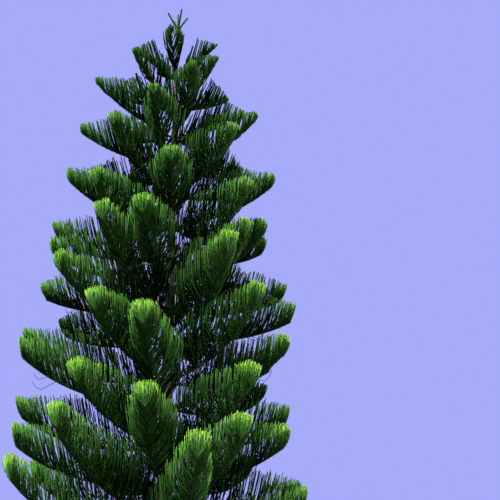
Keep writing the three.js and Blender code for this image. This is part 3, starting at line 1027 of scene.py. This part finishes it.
class PINE_OT_whips(bpy.types.Operator):
    """Grow the whips of needles on every bough, joined into bands of whorls"""

    bl_idname = "pine.whips"
    bl_label = "Whips"

    def execute(self, context):
        scene = context.scene
        whips = scene.pine_whips
        random = np.random.RandomState(whips.seed)
        bundle = grow_whips(scene, random)
        counts = needle_counts(bundle, whips.needles)
        quads = counts + (CORE_RINGS - 1) * CORE_SIDES
        materials = needle_materials(whips)
        for band in whorl_bands(bundle["whorl"], TRIANGLES_PER_QUAD * quads):
            chosen = np.isin(bundle["whorl"], band)
            part = {field: values[chosen] for field, values in bundle.items()}
            cores = core_faces(part, random)
            needles = needle_faces(part, counts[chosen], whips.needle_width, random)
            name = f"whips_{band[0] + 1:02d}_{band[-1] + 1:02d}"
            mesh = mesh_from_quads(name, [cores, needles])
            for material in materials:
                mesh.materials.append(material)
            show(bpy.data.objects.new(name, mesh), foliage_nodes(band))
        return {"FINISHED"}


# Stage


FLOOR_SIZE = 400.0
FLOOR_ROUGHNESS = 0.9
KEY_PLACE = (-6.0, -15.0, 27.0)
KEY_ANGLE = math.radians(16)
FILL_PLACE = (16.0, -14.0, 12.0)
BACK_PLACE = (8.0, 18.0, 14.0)
SOFT_ANGLE = math.radians(45)
AIM = (0.0, 0.0, 7.5)
FRAME_PIXELS = 500
SENSOR_WIDTH_MM = 36.0
SIGHT_END = 1000.0


def add_lamp(scene, name, place, angle, strength):
    """A lamp that lights the tree and the floor evenly; the wider its angle, the softer its shadows."""
    lamp = bpy.data.lights.new(name, "SUN")
    lamp.angle = angle
    lamp.energy = strength
    obj = bpy.data.objects.new(name, lamp)
    obj.location = place
    obj.rotation_euler = (Vector(AIM) - Vector(place)).to_track_quat("-Z", "Y").to_euler()
    scene.collection.objects.link(obj)


class PINE_OT_stage(bpy.types.Operator):
    """Set the floor, the lamps, the backdrop and the camera"""

    bl_idname = "pine.stage"
    bl_label = "Stage"

    def execute(self, context):
        scene = context.scene
        stage = scene.pine_stage
        self.add_floor(scene, stage)
        add_lamp(scene, "key", KEY_PLACE, KEY_ANGLE, stage.key)
        add_lamp(scene, "fill", FILL_PLACE, SOFT_ANGLE, stage.fill)
        add_lamp(scene, "back", BACK_PLACE, SOFT_ANGLE, stage.back)
        self.add_backdrop(scene, stage)
        scene.view_settings.view_transform = "Standard"
        self.add_camera(scene, stage)
        return {"FINISHED"}

    @staticmethod
    def add_floor(scene, stage):
        """A wide plain floor at ground level."""
        bm = bmesh.new()
        bmesh.ops.create_grid(bm, x_segments=1, y_segments=1, size=FLOOR_SIZE)
        mesh = bpy.data.meshes.new("floor")
        bm.to_mesh(mesh)
        bm.free()
        material, shader = new_material("floor")
        shader.inputs["Base Color"].default_value = opaque(stage.floor)
        shader.inputs["Roughness"].default_value = FLOOR_ROUGHNESS
        mesh.materials.append(material)
        floor = bpy.data.objects.new("floor", mesh)
        scene.collection.objects.link(floor)

    @staticmethod
    def add_backdrop(scene, stage):
        """A pale backdrop to look at, and a weaker neutral glow that lights the tree."""
        world = bpy.data.worlds.new("backdrop")
        world.use_nodes = True
        tree = world.node_tree
        seen = tree.nodes["Background"]
        seen.inputs["Color"].default_value = opaque(stage.sky)
        glow = tree.nodes.new("ShaderNodeBackground")
        glow.inputs["Strength"].default_value = stage.glow
        path = tree.nodes.new("ShaderNodeLightPath")
        choose = tree.nodes.new("ShaderNodeMixShader")
        tree.links.new(path.outputs["Is Camera Ray"], choose.inputs["Fac"])
        tree.links.new(glow.outputs["Background"], choose.inputs[1])
        tree.links.new(seen.outputs["Background"], choose.inputs[2])
        tree.links.new(choose.outputs["Shader"], tree.nodes["World Output"].inputs["Surface"])
        scene.world = world

    @staticmethod
    def add_camera(scene, stage):
        """The photograph's view: from near the ground, up at the crown."""
        camera = bpy.data.cameras.new("camera")
        camera.sensor_width = SENSOR_WIDTH_MM
        camera.lens = SENSOR_WIDTH_MM * stage.focal_pixels / FRAME_PIXELS
        camera.clip_end = SIGHT_END
        obj = bpy.data.objects.new("camera", camera)
        obj.location = (0.0, -stage.distance, stage.eye_height)
        obj.rotation_euler = (math.pi / 2 + stage.pitch, 0.0, -stage.yaw)
        scene.collection.objects.link(obj)
        scene.camera = obj


class PINE_PT_sidebar(bpy.types.Panel):
    """Lists the stage and the tree's pieces in the order in which they are made"""

    bl_idname = "PINE_PT_sidebar"
    bl_label = "Norfolk Island Pine"
    bl_space_type = "VIEW_3D"
    bl_region_type = "UI"
    bl_category = "Pine"

    def draw(self, context):
        for operator in OPERATORS:
            self.layout.operator(operator.bl_idname)


SETTINGS = {
    "pine_trunk": PineTrunkSettings,
    "pine_boughs": PineBoughSettings,
    "pine_whips": PineWhipSettings,
    "pine_stage": PineStageSettings,
}
OPERATORS = (PINE_OT_stage, PINE_OT_trunk, PINE_OT_limbs, PINE_OT_whips)
CLASSES = (*SETTINGS.values(), *OPERATORS, PINE_PT_sidebar)


def register():
    for made in CLASSES:
        bpy.utils.register_class(made)
    for name, group in SETTINGS.items():
        setattr(bpy.types.Scene, name, PointerProperty(type=group))


def unregister():
    for name in SETTINGS:
        delattr(bpy.types.Scene, name)
    for made in reversed(CLASSES):
        bpy.utils.unregister_class(made)


def main():
    """Makes the stage and the tree."""
    register()
    bpy.ops.pine.stage()
    bpy.ops.pine.trunk()
    bpy.ops.pine.limbs()
    bpy.ops.pine.whips()


if __name__ == "__main__":
    main()
